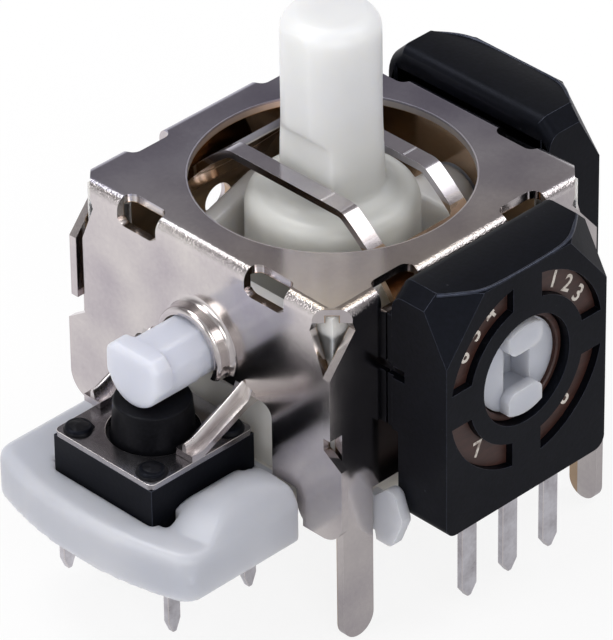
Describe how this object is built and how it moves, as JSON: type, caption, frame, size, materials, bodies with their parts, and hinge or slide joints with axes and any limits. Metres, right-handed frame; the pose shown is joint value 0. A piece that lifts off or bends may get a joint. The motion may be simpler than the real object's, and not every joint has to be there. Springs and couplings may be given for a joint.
{
  "type": "controller analog stick module",
  "caption": "Two axis thumb stick module with slotted metal arch, rocking white ring, push switch under an arm, rotary potentiometers on two sides and a folded metal cover on legs",
  "frame": {"origin": "on the stick's axis, at the underside of the white base that seats on the circuit board", "axes": "+Z along the upright stick, -Y towards the push switch, +X and +Y towards the two potentiometers"},
  "size_m": [0.0202, 0.0271, 0.0251],
  "materials": {
    "plated_sheet": "nickel plated sheet, satin top, bright folds",
    "white_moulding": "milky translucent acetal, slightly glossy",
    "black_moulding": "black glass filled plastic with a faint sheen",
    "brown_board": "brown phenolic board",
    "tinned_pin": "dull tinned metal",
    "steel_pin": "ground steel",
    "spring_wire": "drawn spring wire",
    "contact_bronze": "bare phosphor bronze",
    "black_button": "matt black button",
    "switch_sheet": "thin plated sheet"
  },
  "bodies": {
    "frame": {"cover_frame": "plated_sheet", "base_plate": "white_moulding", "pot1_housing": "black_moulding", "pot1_board": "brown_board", "pot1_terminal_left": "tinned_pin", "pot1_terminal_middle": "tinned_pin", "pot1_terminal_right": "tinned_pin", "pot2_housing": "black_moulding", "pot2_board": "brown_board", "pot2_terminal_left": "tinned_pin", "pot2_terminal_middle": "tinned_pin", "pot2_terminal_right": "tinned_pin", "switch_body": "black_moulding", "switch_plate": "switch_sheet", "switch_dome": "steel_pin", "switch_terminal_nose_left": "tinned_pin", "switch_terminal_nose_right": "tinned_pin", "switch_terminal_rear_left": "tinned_pin", "switch_terminal_rear_right": "tinned_pin"},
    "pot2_turn": {"pot2_rotor": "white_moulding", "pot2_wiper": "contact_bronze"},
    "rocker": {"rocker_arm": "white_moulding", "hinge_pin": "steel_pin"},
    "stick_tilt": {"stick": "white_moulding"},
    "arch": {"slotted_arch": "plated_sheet", "pot1_rotor": "white_moulding", "pot1_wiper": "contact_bronze"},
    "button": {"switch_button": "black_button"},
    "seat": {"spring_seat": "white_moulding", "return_spring": "spring_wire"}
  },
  "joints": [
    {"name": "tilt_y", "type": "hinge", "parent": "frame", "child": "pot2_turn", "pos_m": [0, 0.0087, 0.0075], "axis": [0, 1, 0], "range_deg": [-18, 18], "stiffness_Nm_per_rad": 0.04},
    {"name": "click", "type": "hinge", "parent": "pot2_turn", "child": "rocker", "pos_m": [0, 0.0085, 0.0075], "axis": [1, 0, 0], "range_deg": [0, 1], "stiffness_Nm_per_rad": 2},
    {"name": "tilt_x", "type": "hinge", "parent": "rocker", "child": "stick_tilt", "pos_m": [0, 0, 0.0075], "axis": [1, 0, 0], "range_deg": [-18, 18], "stiffness_Nm_per_rad": 0.04},
    {"name": "arch_turn", "type": "hinge", "parent": "frame", "child": "arch", "pos_m": [0, 0, 0.0075], "axis": [1, 0, 0], "range_deg": [-18, 18]},
    {"name": "button_press", "type": "slide", "parent": "frame", "child": "button", "axis": [0, 0, -1], "range_m": [0, 0.00035]},
    {"name": "seat_slide", "type": "slide", "parent": "frame", "child": "seat", "axis": [0, 0, -1], "range_m": [0, 0.0002], "deforming": ["return_spring"]}
  ],
  "couplings": [
    {"joint": "arch_turn", "follows": "tilt_x", "ratio": 1},
    {"joint": "button_press", "follows": "click", "m_per_rad": 0.0193},
    {"joint": "seat_slide", "follows": "click", "m_per_rad": 0.0085}
  ]
}
